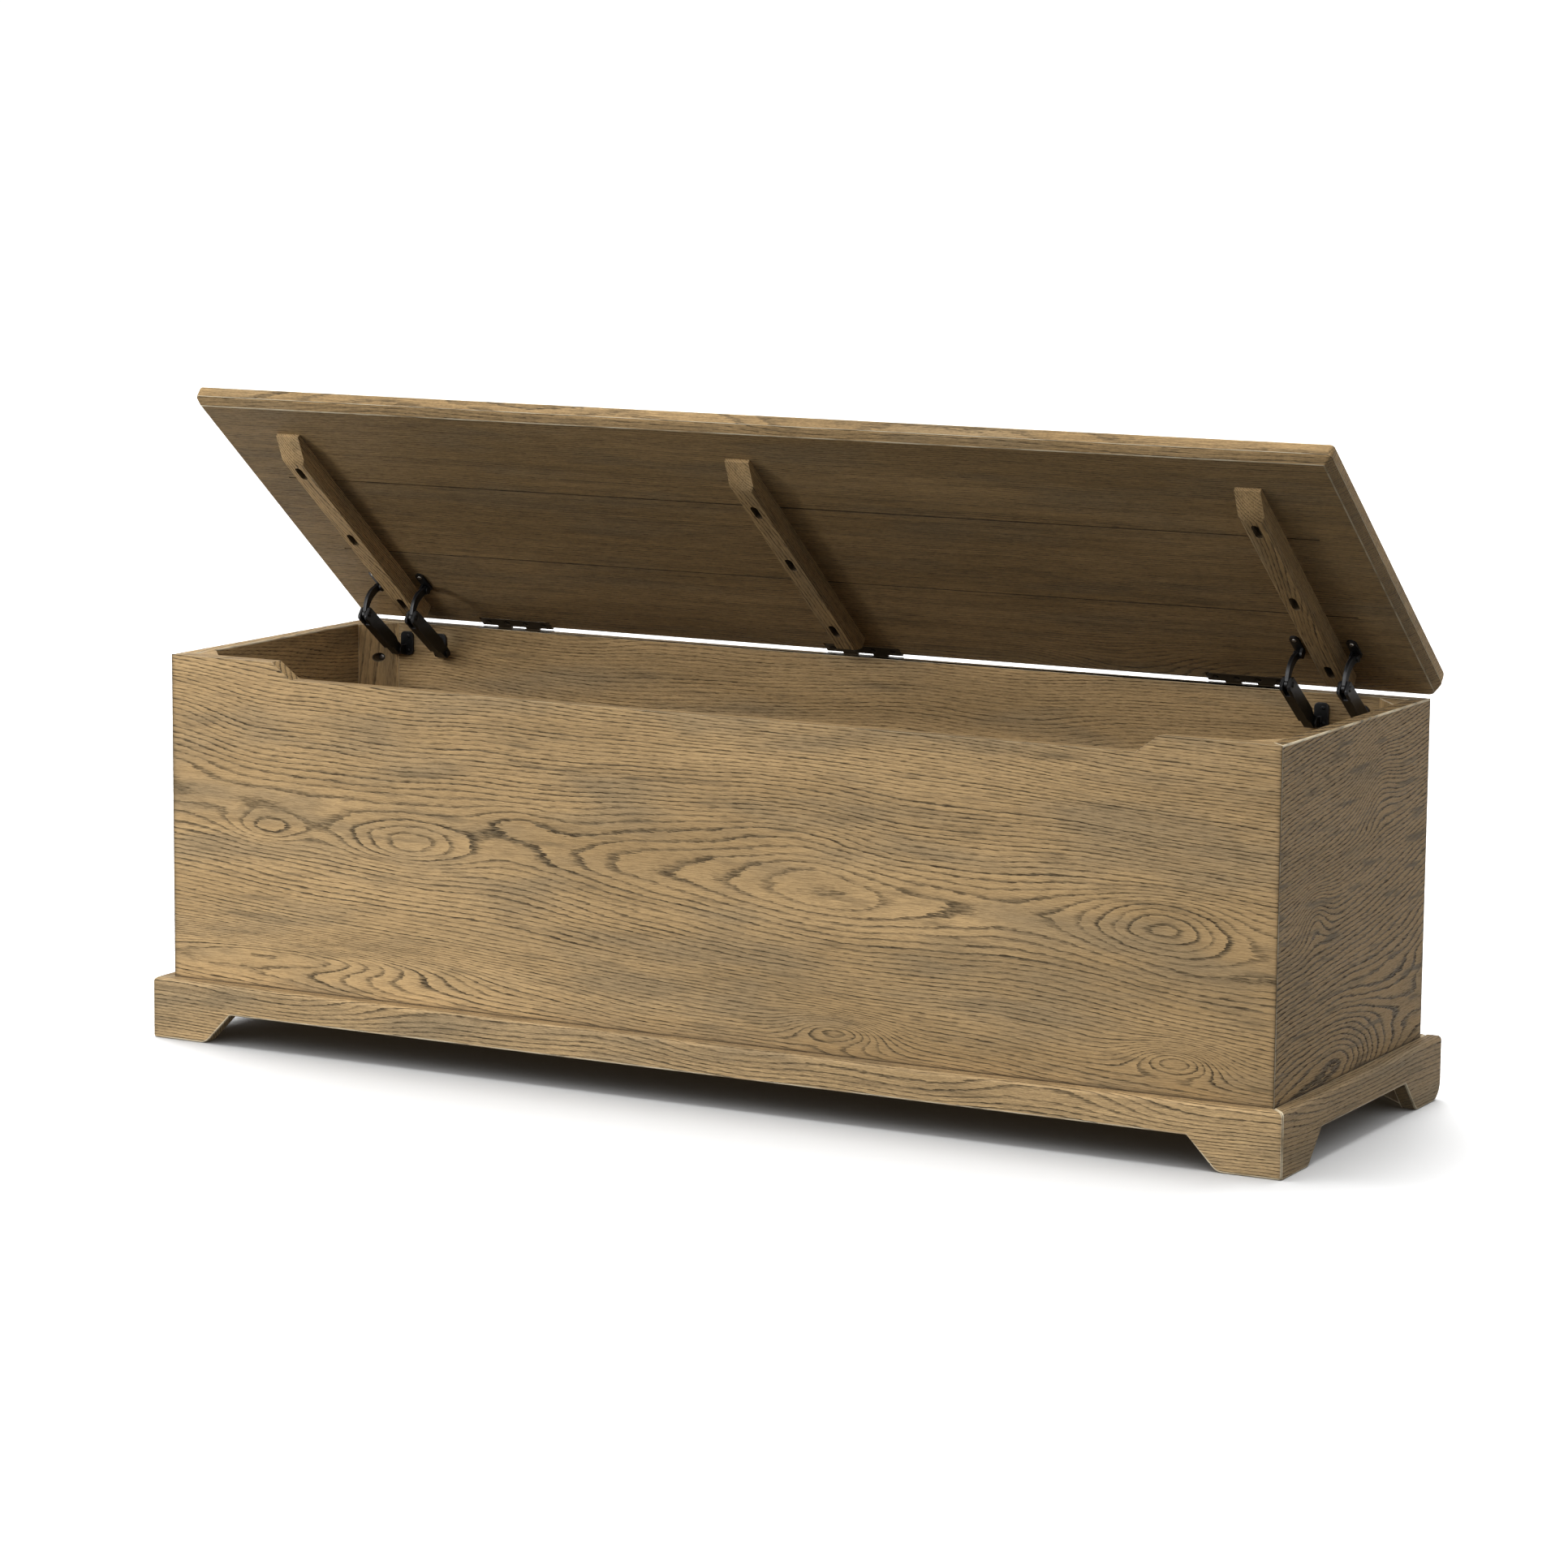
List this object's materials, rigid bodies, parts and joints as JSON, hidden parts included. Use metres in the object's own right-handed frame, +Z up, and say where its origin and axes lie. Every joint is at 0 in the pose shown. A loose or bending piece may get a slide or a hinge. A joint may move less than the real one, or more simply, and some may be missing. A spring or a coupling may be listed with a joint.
{
  "type": "storage bench",
  "caption": "Long oak storage bench: open-topped box on a bracket-footed plinth, battened lid on butt hinges with folding friction stays.",
  "frame": {"origin": "on the floor, under the middle of the plinth", "axes": "+X along the bench to its right end, +Y to the back where the hinges are, +Z up; the lid stands open at 38.84 degrees in the rest pose"},
  "size_m": [1.468, 0.474, 0.7794],
  "materials": {
    "oak": "wire-brushed oiled oak",
    "bronze": "dark antique bronze",
    "black_metal": "satin black",
    "steel_screw": "dull zinc"
  },
  "bodies": {
    "box": {"back_panel": "oak", "bottom_board": "oak", "corner_block_front_left": "oak", "corner_block_front_right": "oak", "corner_block_rear_left": "oak", "corner_block_rear_right": "oak", "corner_block_screw_front_left": "steel_screw", "corner_block_screw_front_right": "steel_screw", "corner_block_screw_rear_left": "steel_screw", "corner_block_screw_rear_right": "steel_screw", "foot_block_front_left": "oak", "foot_block_front_right": "oak", "foot_block_rear_left": "oak", "foot_block_rear_right": "oak", "front_panel": "oak", "hinge_left_box_leaf": "bronze", "hinge_left_pin": "bronze", "hinge_middle_box_leaf": "bronze", "hinge_middle_pin": "bronze", "hinge_right_box_leaf": "bronze", "hinge_right_pin": "bronze", "left_panel": "oak", "plinth_back": "oak", "plinth_front": "oak", "plinth_left": "oak", "plinth_right": "oak", "right_panel": "oak", "stay_left_inner_foot": "black_metal", "stay_left_outer_foot": "black_metal", "stay_right_inner_foot": "black_metal", "stay_right_outer_foot": "black_metal"},
    "lid": {"batten_screw_left_1": "steel_screw", "batten_screw_left_2": "steel_screw", "batten_screw_left_3": "steel_screw", "batten_screw_middle_1": "steel_screw", "batten_screw_middle_2": "steel_screw", "batten_screw_middle_3": "steel_screw", "batten_screw_right_1": "steel_screw", "batten_screw_right_2": "steel_screw", "batten_screw_right_3": "steel_screw", "hinge_left_lid_leaf": "bronze", "hinge_middle_lid_leaf": "bronze", "hinge_right_lid_leaf": "bronze", "lid_batten_left": "oak", "lid_batten_middle": "oak", "lid_batten_right": "oak", "lid_board": "oak", "stay_left_inner_eye": "black_metal", "stay_left_outer_eye": "black_metal", "stay_right_inner_eye": "black_metal", "stay_right_outer_eye": "black_metal"},
    "stay_left_outer_housing": {"stay_left_outer_housing": "black_metal"},
    "stay_left_outer_arm": {"stay_left_outer_arm": "black_metal"},
    "stay_left_inner_housing": {"stay_left_inner_housing": "black_metal"},
    "stay_left_inner_arm": {"stay_left_inner_arm": "black_metal"},
    "stay_right_inner_housing": {"stay_right_inner_housing": "black_metal"},
    "stay_right_inner_arm": {"stay_right_inner_arm": "black_metal"},
    "stay_right_outer_housing": {"stay_right_outer_housing": "black_metal"},
    "stay_right_outer_arm": {"stay_right_outer_arm": "black_metal"}
  },
  "joints": [
    {"name": "lid_hinge", "type": "hinge", "parent": "box", "child": "lid", "pos_m": [0, 0.2177, 0.4623], "axis": [-1, 0, 0], "range_deg": [-38.84, 36]},
    {"name": "stay_left_outer_housing_pivot", "type": "hinge", "parent": "box", "child": "stay_left_outer_housing", "pos_m": [0, 0.187, 0.4315], "axis": [-1, 0, 0], "range_deg": [-38.94, 36.1]},
    {"name": "stay_left_outer_elbow", "type": "hinge", "parent": "stay_left_outer_housing", "child": "stay_left_outer_arm", "pos_m": [0, 0.11563, 0.48318], "axis": [-1, 0, 0], "range_deg": [-36.1, 38.94]},
    {"name": "stay_left_inner_housing_pivot", "type": "hinge", "parent": "box", "child": "stay_left_inner_housing", "pos_m": [0, 0.187, 0.4315], "axis": [-1, 0, 0], "range_deg": [-38.94, 36.1]},
    {"name": "stay_left_inner_elbow", "type": "hinge", "parent": "stay_left_inner_housing", "child": "stay_left_inner_arm", "pos_m": [0, 0.11563, 0.48318], "axis": [-1, 0, 0], "range_deg": [-36.1, 38.94]},
    {"name": "stay_right_inner_housing_pivot", "type": "hinge", "parent": "box", "child": "stay_right_inner_housing", "pos_m": [0, 0.187, 0.4315], "axis": [-1, 0, 0], "range_deg": [-38.94, 36.1]},
    {"name": "stay_right_inner_elbow", "type": "hinge", "parent": "stay_right_inner_housing", "child": "stay_right_inner_arm", "pos_m": [0, 0.11563, 0.48318], "axis": [-1, 0, 0], "range_deg": [-36.1, 38.94]},
    {"name": "stay_right_outer_housing_pivot", "type": "hinge", "parent": "box", "child": "stay_right_outer_housing", "pos_m": [0, 0.187, 0.4315], "axis": [-1, 0, 0], "range_deg": [-38.94, 36.1]},
    {"name": "stay_right_outer_elbow", "type": "hinge", "parent": "stay_right_outer_housing", "child": "stay_right_outer_arm", "pos_m": [0, 0.11563, 0.48318], "axis": [-1, 0, 0], "range_deg": [-36.1, 38.94]}
  ],
  "couplings": [
    {"joint": "stay_left_outer_housing_pivot", "follows": "lid_hinge", "ratio": 1},
    {"joint": "stay_left_outer_elbow", "follows": "lid_hinge", "ratio": -1},
    {"joint": "stay_left_inner_housing_pivot", "follows": "lid_hinge", "ratio": 1},
    {"joint": "stay_left_inner_elbow", "follows": "lid_hinge", "ratio": -1},
    {"joint": "stay_right_inner_housing_pivot", "follows": "lid_hinge", "ratio": 1},
    {"joint": "stay_right_inner_elbow", "follows": "lid_hinge", "ratio": -1},
    {"joint": "stay_right_outer_housing_pivot", "follows": "lid_hinge", "ratio": 1},
    {"joint": "stay_right_outer_elbow", "follows": "lid_hinge", "ratio": -1}
  ]
}
